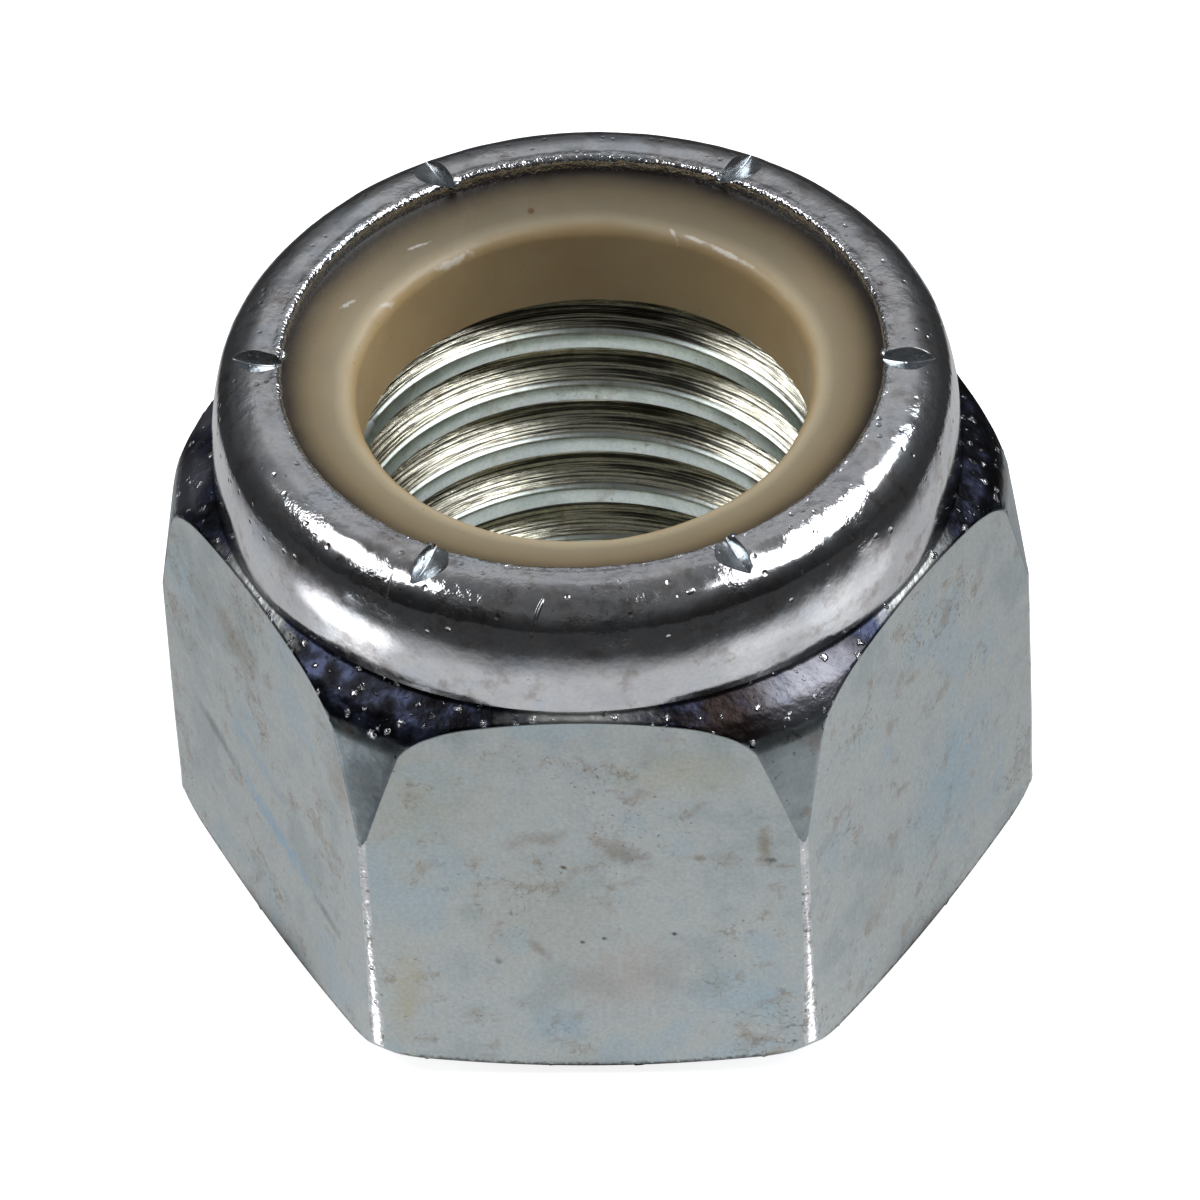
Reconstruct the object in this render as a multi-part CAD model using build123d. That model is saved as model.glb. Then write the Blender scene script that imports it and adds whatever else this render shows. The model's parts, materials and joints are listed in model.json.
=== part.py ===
from build123d import *
import math
import os

# Nylon insert lock nut, millimetres, +Z up, crown uppermost.
# The origin is the middle of the bearing face, on the thread's axis. One flat faces -Y.

# Driving dimensions
across_flats = 26.9
overall_height = 22.22
corner_edge_radius = 0.35
arched_edge_radius = 0.2

bearing_radius = 12.05
bearing_chamfer_angle = 18.0
bottom_corner_radius = 1.2

crown_radius = 13.2
crown_base_height = 17.62
crown_root_radius = 0.2
ledge_angle = 30.0
ledge_edge_radius = 1.0
base_cone_angle = 50.0
cone_height_at_crown = 18.18
shoulder_taper_angle = 8.5
corner_top_height = 11.5
corner_top_radius = 4.0
shoulder_break_radius = 2.0

crown_lean_radius = 7.7
crown_lean_angle = 15.0
crown_roll_radius = 1.6
lip_inner_radius = 10.565
lip_thickness = 0.57
lip_edge_radius = 0.25

thread_minor_radius = 8.42
countersink_radius = 9.9
entry_chamfer_angle = 30.0
exit_chamfer_angle = 45.0

recess_radius = 11.8
recess_floor_height = 17.6
recess_roof_radius = 0.9
nylon_bore_radius = 8.0
nylon_dish = 0.55
nylon_bore_edge_radius = 0.5
nylon_lower_edge = 0.15

crimp_count = 6
crimp_angle = 90.0
crimp_inner_depth = 0.4
crimp_outer_radius = 12.85
crimp_outer_height = 21.38
crimp_cutter_height = 2.0

# How far cutting tools reach past the finished faces
cut_margin = 1.0


def tan_deg(angle):
    return math.tan(math.radians(angle))


# Heights and radii that follow from the driving dimensions
flat_distance = across_flats / 2
corner_factor = 2 / math.sqrt(3)
sharp_corner_radius = flat_distance * corner_factor
corner_radius = sharp_corner_radius - corner_edge_radius * (corner_factor - 1)
bearing_chamfer_height = (sharp_corner_radius - bearing_radius) * tan_deg(bearing_chamfer_angle)
taper_start_height = corner_top_height - (sharp_corner_radius - corner_radius) / tan_deg(
    shoulder_taper_angle
)
crown_wall_top = (
    overall_height
    - crown_roll_radius
    - (crown_lean_radius - crown_roll_radius) * math.sin(math.radians(crown_lean_angle))
)
lip_underside = overall_height - lip_thickness
countersink_width = countersink_radius - thread_minor_radius
entry_cone_top = countersink_width * tan_deg(entry_chamfer_angle)
exit_cone_bottom = recess_floor_height - countersink_width * tan_deg(exit_chamfer_angle)

# The ledge round the crown's foot falls off into the base cone
ledge_slope = tan_deg(ledge_angle)
base_slope = tan_deg(base_cone_angle)
ledge_reach = (cone_height_at_crown - crown_base_height) / (base_slope - ledge_slope)
ledge_radius = crown_radius + ledge_reach
ledge_edge_height = crown_base_height - ledge_slope * ledge_reach

# Where the base cone meets the steep taper of the hexagon's shoulders
taper_slope = tan_deg(shoulder_taper_angle)
taper_reach = corner_radius + taper_slope * corner_top_height
break_height = (cone_height_at_crown - base_slope * (taper_reach - crown_radius)) / (
    1 - base_slope * taper_slope
)
break_radius = taper_reach - taper_slope * break_height


def turned(profile):
    """One turned solid from a closed half section drawn on the XZ plane."""
    return revolve(Plane.XZ * make_face(profile), axis=Axis.Z)


def hexagon_bar():
    """The six flats, with the corner edges rounded as they are on cold-formed bar."""
    outline = RegularPolygon(radius=sharp_corner_radius, side_count=6)
    bar = extrude(outline, amount=overall_height)
    return fillet(bar.edges().filter_by(Axis.Z), radius=corner_edge_radius)


def outer_form():
    """Turned outside: bearing chamfer, rounded corners, tapered shoulders, crown and rolled lip."""
    bearing = Line((0, 0), (bearing_radius, 0))
    flanks = FilletPolyline(
        bearing @ 1,
        (sharp_corner_radius, bearing_chamfer_height),
        (sharp_corner_radius, taper_start_height),
        (break_radius, break_height),
        (ledge_radius, ledge_edge_height),
        (crown_radius, crown_base_height),
        (crown_radius, crown_wall_top),
        radius=[
            bottom_corner_radius,
            corner_top_radius,
            shoulder_break_radius,
            ledge_edge_radius,
            crown_root_radius,
        ],
    )
    lean = JernArc(
        start=flanks @ 1, tangent=(0, 1), radius=crown_lean_radius, arc_size=crown_lean_angle
    )
    roll = JernArc(
        start=lean @ 1, tangent=lean % 1, radius=crown_roll_radius, arc_size=90 - crown_lean_angle
    )
    lip_top = Line(roll @ 1, (0, overall_height))
    axis_line = Line(lip_top @ 1, bearing @ 0)
    return turned([bearing, flanks, lean, roll, lip_top, axis_line])


def through_hole():
    """Turned inside: both countersinks, the thread's minor bore and the nylon recess."""
    above = overall_height + cut_margin
    entry = Polyline(
        (0, -cut_margin),
        (countersink_radius, -cut_margin),
        (countersink_radius, 0),
        (thread_minor_radius, entry_cone_top),
        (thread_minor_radius, exit_cone_bottom),
        (countersink_radius, recess_floor_height),
        (recess_radius, recess_floor_height),
        (recess_radius, lip_underside - recess_roof_radius),
    )
    roof = JernArc(start=entry @ 1, tangent=(0, 1), radius=recess_roof_radius, arc_size=90)
    lip_edge_bottom = Line(roof @ 1, (lip_inner_radius, lip_underside))
    lip_edge = Line(lip_edge_bottom @ 1, (lip_inner_radius, overall_height - lip_edge_radius))
    lip_round = JernArc(start=lip_edge @ 1, tangent=(0, 1), radius=-lip_edge_radius, arc_size=90)
    top = Polyline(
        lip_round @ 1,
        (lip_inner_radius + lip_edge_radius, above),
        (0, above),
        (0, -cut_margin),
    )
    return turned([entry, roof, lip_edge_bottom, lip_edge, lip_round, top])


def crimp_notches():
    """V grooves pressed across the rolled lip, one over each corner of the hexagon."""
    inner_height = overall_height - crimp_inner_depth
    run = Vector(crimp_outer_radius - lip_inner_radius, 0, crimp_outer_height - inner_height)
    start = Vector(lip_inner_radius, 0, inner_height) - run.normalized() * cut_margin
    half_width = crimp_cutter_height * tan_deg(crimp_angle / 2)
    section_plane = Plane(origin=start, x_dir=(0, 1, 0), z_dir=run)
    section = section_plane * make_face(
        Polyline(
            (0, 0), (half_width, crimp_cutter_height), (-half_width, crimp_cutter_height), close=True
        )
    )
    groove = extrude(section, amount=run.length + 2 * cut_margin)
    return [Rot(0, 0, index * 360 / crimp_count) * groove for index in range(crimp_count)]


def softened_blank():
    """The solid outside, with the arched edges above and below the six flats eased."""
    blank = hexagon_bar() & outer_form()
    flats = blank.faces().filter_by(GeomType.PLANE).filter_by(Axis.Z, reverse=True)
    arched_edges = flats.edges().filter_by(Axis.Z, reverse=True)
    return fillet(arched_edges, radius=arched_edge_radius)


def nut_body():
    body = softened_blank() - through_hole()
    for groove in crimp_notches():
        body = body - groove
    return body


def nylon_ring():
    """Plain ring that fills the recess; its free top dishes a little towards the bore."""
    lower = Polyline(
        (nylon_bore_radius, recess_floor_height + nylon_lower_edge),
        (nylon_bore_radius + nylon_lower_edge, recess_floor_height),
        (recess_radius, recess_floor_height),
        (recess_radius, lip_underside - recess_roof_radius),
    )
    roof = JernArc(start=lower @ 1, tangent=(0, 1), radius=recess_roof_radius, arc_size=90)
    top = FilletPolyline(
        roof @ 1,
        (lip_inner_radius, lip_underside),
        (nylon_bore_radius, lip_underside - nylon_dish),
        lower @ 0,
        radius=nylon_bore_edge_radius,
    )
    return turned([lower, roof, top])


os.makedirs("parts", exist_ok=True)
export_step(nut_body(), "parts/nut_body.step")
export_step(nylon_ring(), "parts/nylon_ring.step")
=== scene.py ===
import json
import math

import bpy
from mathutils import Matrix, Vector, noise

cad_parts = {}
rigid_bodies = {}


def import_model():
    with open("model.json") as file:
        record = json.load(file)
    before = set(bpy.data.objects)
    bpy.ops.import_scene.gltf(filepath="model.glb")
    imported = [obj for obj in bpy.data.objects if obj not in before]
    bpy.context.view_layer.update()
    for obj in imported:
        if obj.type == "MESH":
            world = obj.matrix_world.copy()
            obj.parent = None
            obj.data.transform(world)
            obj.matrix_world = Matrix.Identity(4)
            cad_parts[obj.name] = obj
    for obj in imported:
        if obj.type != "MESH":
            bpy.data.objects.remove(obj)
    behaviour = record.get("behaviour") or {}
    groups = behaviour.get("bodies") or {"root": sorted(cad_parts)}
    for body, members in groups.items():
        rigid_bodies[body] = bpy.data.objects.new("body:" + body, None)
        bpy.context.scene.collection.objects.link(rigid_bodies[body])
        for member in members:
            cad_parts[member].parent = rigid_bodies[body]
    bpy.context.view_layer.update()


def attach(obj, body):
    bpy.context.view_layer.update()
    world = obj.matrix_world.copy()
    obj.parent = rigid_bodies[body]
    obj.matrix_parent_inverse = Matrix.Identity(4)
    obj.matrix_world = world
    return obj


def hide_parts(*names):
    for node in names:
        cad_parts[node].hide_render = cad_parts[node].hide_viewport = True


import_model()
print("frame loaded")

# Pieces are drawn in millimetres and brought to metres when they are finished
millimetre = 0.001
near = 0.0005


def clearSelection():
    if bpy.context.object and bpy.context.object.mode != "OBJECT":
        bpy.ops.object.mode_set(mode="OBJECT")
    bpy.ops.object.select_all(action="DESELECT")


def takeUp(piece):
    clearSelection()
    bpy.context.view_layer.objects.active = piece
    piece.select_set(True)


# Selects the vertices, edges or faces that pass a test, and stays in edit mode
def pick(piece, kind, test):
    takeUp(piece)
    bpy.ops.object.mode_set(mode="EDIT")
    bpy.ops.mesh.select_mode(type=kind)
    bpy.ops.mesh.select_all(action="DESELECT")
    bpy.ops.object.mode_set(mode="OBJECT")
    elements = {"VERT": piece.data.vertices, "EDGE": piece.data.edges, "FACE": piece.data.polygons}
    for element in elements[kind]:
        element.select = test(element)
    bpy.ops.object.mode_set(mode="EDIT")


# Runs one operator of edit mode on what passes the test, and comes back to object mode
def edit(piece, kind, test, operator, **settings):
    pick(piece, kind, test)
    operator(**settings)
    bpy.ops.object.mode_set(mode="OBJECT")


def everything(element):
    return True


def endsOf(piece, edge):
    return [piece.data.vertices[point].co for point in edge.vertices]


def radiusOf(co):
    return math.hypot(co.x, co.y)


def tanDegrees(angle):
    return math.tan(math.radians(angle))


def clamp(value, low=0, high=1):
    return min(max(value, low), high)


def slotOf(piece, material):
    return [slot.name for slot in piece.data.materials].index(material.name)


def applyModifier(piece, kind, **settings):
    takeUp(piece)
    modifier = piece.modifiers.new(kind.title(), kind)
    for name, value in settings.items():
        setattr(modifier, name, value)
    bpy.ops.object.modifier_apply(modifier=modifier.name)


# The cut faces keep the tool's material
def combine(body, tool, operation):
    applyModifier(body, "BOOLEAN", object=tool, operation=operation, solver="MANIFOLD",
                  material_mode="TRANSFER")
    bpy.data.objects.remove(tool)


# Soft unevenness of a given grain, in millimetres. The share says how much of it each point takes.
def roughen(piece, share, grain, strength):
    group = piece.vertex_groups.new(name="uneven")
    for vertex in piece.data.vertices:
        weight = float(share(vertex.co))
        if weight > 0:
            group.add([vertex.index], min(weight, 1.0), "REPLACE")
    lumps = bpy.data.textures.new("lumps", "CLOUDS")
    lumps.noise_scale = grain
    applyModifier(piece, "DISPLACE", texture=lumps, strength=strength, vertex_group=group.name)
    piece.vertex_groups.clear()


# A closed half section on the XZ plane: each corner is x, z, rounding radius and rounding steps
def drawSection(name, corners):
    clearSelection()
    bpy.ops.mesh.primitive_plane_add(size=1)
    section = bpy.context.object
    section.name = name
    bpy.ops.object.mode_set(mode="EDIT")
    bpy.ops.mesh.select_mode(type="VERT")
    bpy.ops.mesh.merge(type="CENTER")
    bpy.ops.mesh.select_all(action="SELECT")
    places = [Vector((corner[0], 0, corner[1])) for corner in corners]
    bpy.ops.transform.translate(value=places[0])
    for before, place in zip(places, places[1:]):
        bpy.ops.mesh.extrude_region_move(TRANSFORM_OT_translate={"value": place - before})
    ends = (places[0], places[-1])
    edit(section, "VERT", lambda vertex: min((vertex.co - end).length for end in ends) < near,
         bpy.ops.mesh.edge_face_add)
    for step, corner in enumerate(corners):
        if len(corner) == 2:
            continue
        radius, steps = corner[2:]
        here = places[step]
        before, after = places[step - 1] - here, places[(step + 1) % len(places)] - here
        turn = math.pi - before.angle(after)
        edit(section, "VERT", lambda vertex: (vertex.co - here).length < near, bpy.ops.mesh.bevel,
             offset=radius * math.tan(turn / 2), segments=steps, affect="VERTICES")
    edit(section, "VERT", everything, bpy.ops.mesh.remove_doubles, threshold=near)
    return section


# A straight stretch between two points of a section is cut into short rows
def cutRows(section, start, end, cuts):
    low = Vector((start[0], 0, start[1]))
    run = Vector((end[0], 0, end[1])) - low
    length = run.length

    def onStretch(co):
        along = (co - low).dot(run) / length
        aside = ((co - low) - run * (along / length)).length
        return -near < along < length + near and aside < near

    edit(section, "EDGE", lambda edge: all(onStretch(co) for co in endsOf(section, edge)),
         bpy.ops.mesh.subdivide, number_cuts=cuts)


def spinSection(section, steps):
    pick(section, "VERT", everything)
    bpy.ops.mesh.spin(steps=steps, angle=math.tau, center=(0, 0, 0), axis=(0, 0, 1))
    bpy.ops.mesh.select_all(action="SELECT")
    bpy.ops.mesh.remove_doubles(threshold=near)
    bpy.ops.mesh.normals_make_consistent(inside=False)
    bpy.ops.object.mode_set(mode="OBJECT")


crownZinc = bpy.data.materials.new("rolledZinc")
flatZinc = bpy.data.materials.new("forgedZinc")
threadZinc = bpy.data.materials.new("tappedZinc")
notchZinc = bpy.data.materials.new("pressedZinc")
wornZinc = bpy.data.materials.new("wornZinc")
shoulderZinc = bpy.data.materials.new("shoulderZinc")
bearingZinc = bpy.data.materials.new("bearingZinc")
nylon = bpy.data.materials.new("mouldedNylon")

nut = {
    "acrossFlats": 26.9,
    "height": 22.22,
    "cornerRounding": 0.35,
    "bearingRadius": 12.05,
    "bearingChamfer": 18.0,
    "bottomRounding": 1.2,
    "taperTop": 11.5,
    "taperAngle": 8.5,
    "taperRounding": 4.0,
    "breakRounding": 2.0,
    "coneAngle": 50.0,
    "coneHeightAtCrown": 18.18,
    "ledgeAngle": 30.0,
    "ledgeEdgeRounding": 1.0,
    "crownBaseHeight": 17.62,
    "crownRadius": 13.2,
    "rootRounding": 0.2,
    "leanRadius": 7.7,
    "leanAngle": 15.0,
    "rollRadius": 1.6,
    "lipInnerRadius": 10.565,
    "lipThickness": 0.57,
    "lipEdgeRounding": 0.25,
    "recessRadius": 11.8,
    "recessFloor": 17.6,
    "recessRoofRounding": 0.9,
    "countersinkRadius": 9.9,
    "entryAngle": 30.0,
    "exitAngle": 45.0,
    "minorRadius": 8.42,
    "spinSteps": 360,
}
sharpCorner = nut["acrossFlats"] / math.sqrt(3)


def makeTurnedForm():
    top, crownRadius = nut["height"], nut["crownRadius"]
    roundedCorner = sharpCorner - nut["cornerRounding"] * (2 / math.sqrt(3) - 1)
    taper = tanDegrees(nut["taperAngle"])
    cone = tanDegrees(nut["coneAngle"])
    ledge = tanDegrees(nut["ledgeAngle"])
    bearingEdge = (nut["bearingRadius"], 0)
    chamferTop = (sharpCorner - nut["bearingRadius"]) * tanDegrees(nut["bearingChamfer"])
    taperStart = nut["taperTop"] - (sharpCorner - roundedCorner) / taper
    taperReach = roundedCorner + taper * nut["taperTop"]
    breakHeight = (nut["coneHeightAtCrown"] - cone * (taperReach - crownRadius)) / (1 - cone * taper)
    shoulderBreak = (taperReach - taper * breakHeight, breakHeight)
    ledgeReach = (nut["coneHeightAtCrown"] - nut["crownBaseHeight"]) / (cone - ledge)
    ledgeEdge = (crownRadius + ledgeReach, nut["crownBaseHeight"] - ledge * ledgeReach)
    lean = math.radians(nut["leanAngle"])
    leanReach = nut["leanRadius"] * math.tan(lean / 2)
    rollReach = nut["rollRadius"] * math.tan((math.pi / 2 - lean) / 2)
    rollX = crownRadius - math.sin(lean) * (leanReach + rollReach)
    crownFoot = (crownRadius, nut["crownBaseHeight"])
    wallTop = top - math.cos(lean) * (leanReach + rollReach)
    underside = top - nut["lipThickness"]
    counterWidth = nut["countersinkRadius"] - nut["minorRadius"]
    turned = drawSection("turnedForm", [
        bearingEdge,
        (sharpCorner, chamferTop, nut["bottomRounding"], 8),
        (sharpCorner, taperStart, nut["taperRounding"], 4),
        shoulderBreak + (nut["breakRounding"], 10),
        ledgeEdge + (nut["ledgeEdgeRounding"], 5),
        crownFoot + (nut["rootRounding"], 5),
        (crownRadius, wallTop, nut["leanRadius"], 9),
        (rollX, top, nut["rollRadius"], 12),
        (nut["lipInnerRadius"], top, nut["lipEdgeRounding"], 5),
        (nut["lipInnerRadius"], underside),
        (nut["recessRadius"], underside, nut["recessRoofRounding"], 4),
        (nut["recessRadius"], nut["recessFloor"]),
        (nut["countersinkRadius"], nut["recessFloor"]),
        (nut["minorRadius"], nut["recessFloor"] - counterWidth * tanDegrees(nut["exitAngle"])),
        (nut["minorRadius"], counterWidth * tanDegrees(nut["entryAngle"])),
        (nut["countersinkRadius"], 0),
    ])
    cutRows(turned, crownFoot, (crownRadius, wallTop - leanReach), 5)
    cutRows(turned, shoulderBreak, ledgeEdge, 5)
    cutRows(turned, (sharpCorner, taperStart), shoulderBreak, 9)
    cutRows(turned, bearingEdge, (sharpCorner, chamferTop), 8)
    cutRows(turned, (rollX - rollReach, top), (nut["lipInnerRadius"] + nut["lipEdgeRounding"], top), 5)
    spinSection(turned, nut["spinSteps"])
    for material in (crownZinc, shoulderZinc, bearingZinc, threadZinc):
        turned.data.materials.append(material)
    shoulder, bearing, bore = (slotOf(turned, zinc) for zinc in (shoulderZinc, bearingZinc, threadZinc))
    slack = 0.1
    for face in turned.data.polygons:
        radius = radiusOf(face.center)
        if face.center.z > nut["crownBaseHeight"] + slack:
            continue
        if radius < nut["minorRadius"] + near:
            face.material_index = bore
        elif face.center.z > taperStart - 10 * slack and radius > crownRadius - slack:
            face.material_index = shoulder
        else:
            face.material_index = bearing

    def onCrown(co):
        return co.z > nut["crownBaseHeight"] + 2 * slack and radiusOf(co) > nut["lipInnerRadius"] - near

    def onLipEdge(co):
        return co.z > underside - near and radiusOf(co) < nut["lipInnerRadius"] + 2 * nut["lipEdgeRounding"]

    roughen(turned, onCrown, grain=3.2, strength=0.07)
    roughen(turned, lambda co: onCrown(co) * (co.z - wallTop) / 1.5, grain=1.1, strength=0.045)
    roughen(turned, onLipEdge, grain=0.45, strength=0.07)
    return turned


# Corner edges are rubbed wide a little above the bearing face, and dented all along
wear = {
    "rows": 100,
    "steps": 6,
    "topHeight": 5.0,
    "fullHeight": 2.3,
    "footHeight": 0.9,
    "footShare": 0.35,
    "rounding": 0.5,
    "denting": 0.3,
    "leastRounding": 0.15,
    "widestRounding": 1.6,
    "dentLength": 0.7,
    "rubLength": 1.9,
}


# Rounding of one corner edge at a height, as a share of the widest one
def cornerWear(corner, height):
    dent = noise.noise(Vector((corner * 7.3, 0, height / wear["dentLength"])))
    rub = noise.noise(Vector((corner * 3.1, 9, height / wear["rubLength"])))
    low = clamp((wear["topHeight"] - height) / (wear["topHeight"] - wear["fullHeight"]))
    foot = wear["footShare"]
    rise = (1 - foot) * (height - wear["footHeight"]) / (wear["fullHeight"] - wear["footHeight"])
    low *= clamp(foot + rise, foot)
    rounding = nut["cornerRounding"] * (1 + wear["denting"] * dent)
    rounding += wear["rounding"] * low * low * (0.85 + 0.5 * rub + 0.25 * dent)
    return max(rounding, wear["leastRounding"]) / wear["widestRounding"]


def makeHexBar():
    clearSelection()
    bpy.ops.mesh.primitive_cylinder_add(
        vertices=6, radius=sharpCorner, depth=nut["height"] + 2, location=(0, 0, nut["height"] / 2),
        rotation=(0, 0, math.radians(30)))
    bar = bpy.context.object
    bar.name = "hexBar"
    bpy.ops.object.transform_apply(location=True, rotation=True, scale=True)

    def upright(edge):
        start, end = endsOf(bar, edge)
        return abs(start.z - end.z) > near and (start.xy - end.xy).length < near

    edit(bar, "EDGE", upright, bpy.ops.mesh.subdivide, number_cuts=wear["rows"])
    widths = bar.data.attributes.new("bevel_weight_edge", "FLOAT", "EDGE")
    for edge in bar.data.edges:
        if upright(edge):
            start, end = endsOf(bar, edge)
            corner = round(math.degrees(math.atan2(start.y, start.x)) / 60)
            widths.data[edge.index].value = cornerWear(corner, (start.z + end.z) / 2)
    bar.data.materials.append(flatZinc)
    bar.data.materials.append(wornZinc)
    applyModifier(bar, "BEVEL", limit_method="WEIGHT", width=wear["widestRounding"] * math.tan(math.pi / 6),
                  segments=wear["steps"], material=1, use_clamp_overlap=False)
    return bar


thread = {
    "pitch": 2.54,
    "rootRadius": 9.525,
    "crestRadius": 8.42,
    "crestFlat": 0.68,
    "crestRounding": 0.15,
    "rootFlat": 0.34,
    "rootRounding": 0.1,
    "heightAtBack": 9.0,
    "turns": 8,
    "stepsPerTurn": 180,
    # How far the cutter reaches inside the crests and beside the groove's mouth
    "inset": 0.17,
    "landInset": 0.005,
    "margin": 0.12,
}


# The groove between the thread's crests, as one long coil
def makeGrooveCoil():
    inside = thread["crestRadius"] - thread["inset"]
    land = thread["crestRadius"] - thread["landInset"]
    root = thread["rootRadius"]
    halfMouth = (thread["pitch"] - thread["crestFlat"]) / 2
    halfRoot = thread["rootFlat"] / 2
    middle = thread["heightAtBack"] - thread["pitch"] / 4 - thread["turns"] / 2 * thread["pitch"]
    coil = drawSection("grooveCoil", [
        (inside, middle - halfMouth - thread["margin"]),
        (land, middle - halfMouth - thread["margin"]),
        (land, middle - halfMouth, thread["crestRounding"], 4),
        (root, middle - halfRoot, thread["rootRounding"], 3),
        (root, middle + halfRoot, thread["rootRounding"], 3),
        (land, middle + halfMouth, thread["crestRounding"], 4),
        (land, middle + halfMouth + thread["margin"]),
        (inside, middle + halfMouth + thread["margin"]),
    ])
    applyModifier(coil, "SCREW", axis="Z", screw_offset=thread["pitch"], iterations=thread["turns"],
                  steps=thread["stepsPerTurn"], render_steps=thread["stepsPerTurn"], angle=math.tau)
    # Both open ends lie on the plane y = 0, where each is a loop of its own height
    for ending in (middle, middle + thread["turns"] * thread["pitch"]):

        def onEnding(vertex):
            x, y, z = vertex.co
            return x > 0 and abs(y) < near and abs(z - ending) < thread["pitch"] / 2

        edit(coil, "VERT", onEnding, bpy.ops.mesh.edge_face_add)
    edit(coil, "VERT", everything, bpy.ops.mesh.normals_make_consistent, inside=False)
    coil.data.materials.append(threadZinc)
    return coil


# Where each crimp was pressed: direction, side of its flat facet and skew, in degrees
crimp = {
    "marks": [(0.5, -1, 4), (63.0, -1, -4), (118.5, 1, 5), (178.5, 1, -14), (243.5, 1, 3), (300.0, -1, -3)],
    "chiselRadius": 2.6,
    "chiselHeight": 0.9,
    "pressRadius": 11.6,
    "pressDepth": 0.48,
    "facetSlope": 28.0,
    "wallSlope": 62.0,
    "edgeRounding": 0.05,
    "rimRounding": 0.04,
    "burrRadius": 0.2,
    "burrShape": (0.9, 1.3, 0.8),
    "burrReach": 0.05,
    "burrDrop": 0.22,
    "burrTurn": 0.02,
}


# The crimping chisel: a rounded blade with one gentle and one steep side, once over each corner
def makeChisels():
    radius, height = crimp["chiselRadius"], crimp["chiselHeight"]
    facetEnd = height / tanDegrees(crimp["facetSlope"])
    wallEnd = -height / tanDegrees(crimp["wallSlope"])
    blade = drawSection("chisels", [
        (radius - 2 * height, wallEnd),
        (radius - height, wallEnd),
        (radius, 0, crimp["edgeRounding"], 3),
        (radius - height, facetEnd),
        (radius - 2 * height, facetEnd),
    ])
    spinSection(blade, 160)
    blade.data.materials.append(notchZinc)
    reach, level = crimp["pressRadius"], nut["height"] - crimp["pressDepth"] + radius
    for direction, side, skew in crimp["marks"]:
        takeUp(blade)
        bpy.ops.object.duplicate()
        copy = bpy.context.object
        turn = math.radians(direction)
        copy.location = (reach * math.cos(turn), reach * math.sin(turn), level)
        copy.rotation_euler = (-side * math.pi / 2, 0, turn + math.radians(skew))
    bpy.data.objects.remove(blade)
    clearSelection()
    copies = [piece for piece in bpy.data.objects if piece.name.startswith("chisels")]
    for copy in copies:
        copy.select_set(True)
    bpy.context.view_layer.objects.active = copies[0]
    bpy.ops.object.join()
    bpy.ops.object.transform_apply(location=True, rotation=True, scale=True)
    return bpy.context.object


# A little metal is pushed inwards at the inner end of each crimp
def makeBurrs():
    clearSelection()
    reach = nut["lipInnerRadius"] + crimp["burrReach"]
    level = nut["height"] - crimp["burrDrop"]
    burrs = []
    for direction, side, _ in crimp["marks"]:
        turn = math.radians(direction) - side * crimp["burrTurn"]
        bpy.ops.mesh.primitive_ico_sphere_add(
            subdivisions=3, radius=crimp["burrRadius"], scale=crimp["burrShape"],
            location=(reach * math.cos(turn), reach * math.sin(turn), level), rotation=(0, 0, turn))
        burrs.append(bpy.context.object)
    for burr in burrs:
        burr.select_set(True)
    bpy.ops.object.join()
    bpy.ops.object.transform_apply(location=True, rotation=True, scale=True)
    joined = bpy.context.object
    joined.name = "burrs"
    roughen(joined, lambda co: 1, grain=0.3, strength=0.16)
    joined.data.materials.append(notchZinc)
    return joined


# Edges with a face of one material on one side, and a face of one of the others on the other
def bordersOf(body, inner, outers):
    sides = {}
    for face in body.data.polygons:
        for key in face.edge_keys:
            sides.setdefault(key, set()).add(face.material_index)
    return {key for key, found in sides.items() if inner in found and found & outers}


easing = {
    "flatTolerance": 0.2,
    "crowding": 0.07,
    "slant": 0.6,
    "width": 0.1,
    "steps": 3,
    "turnedOver": 0.05,
    "opposed": -0.9,
}


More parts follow.
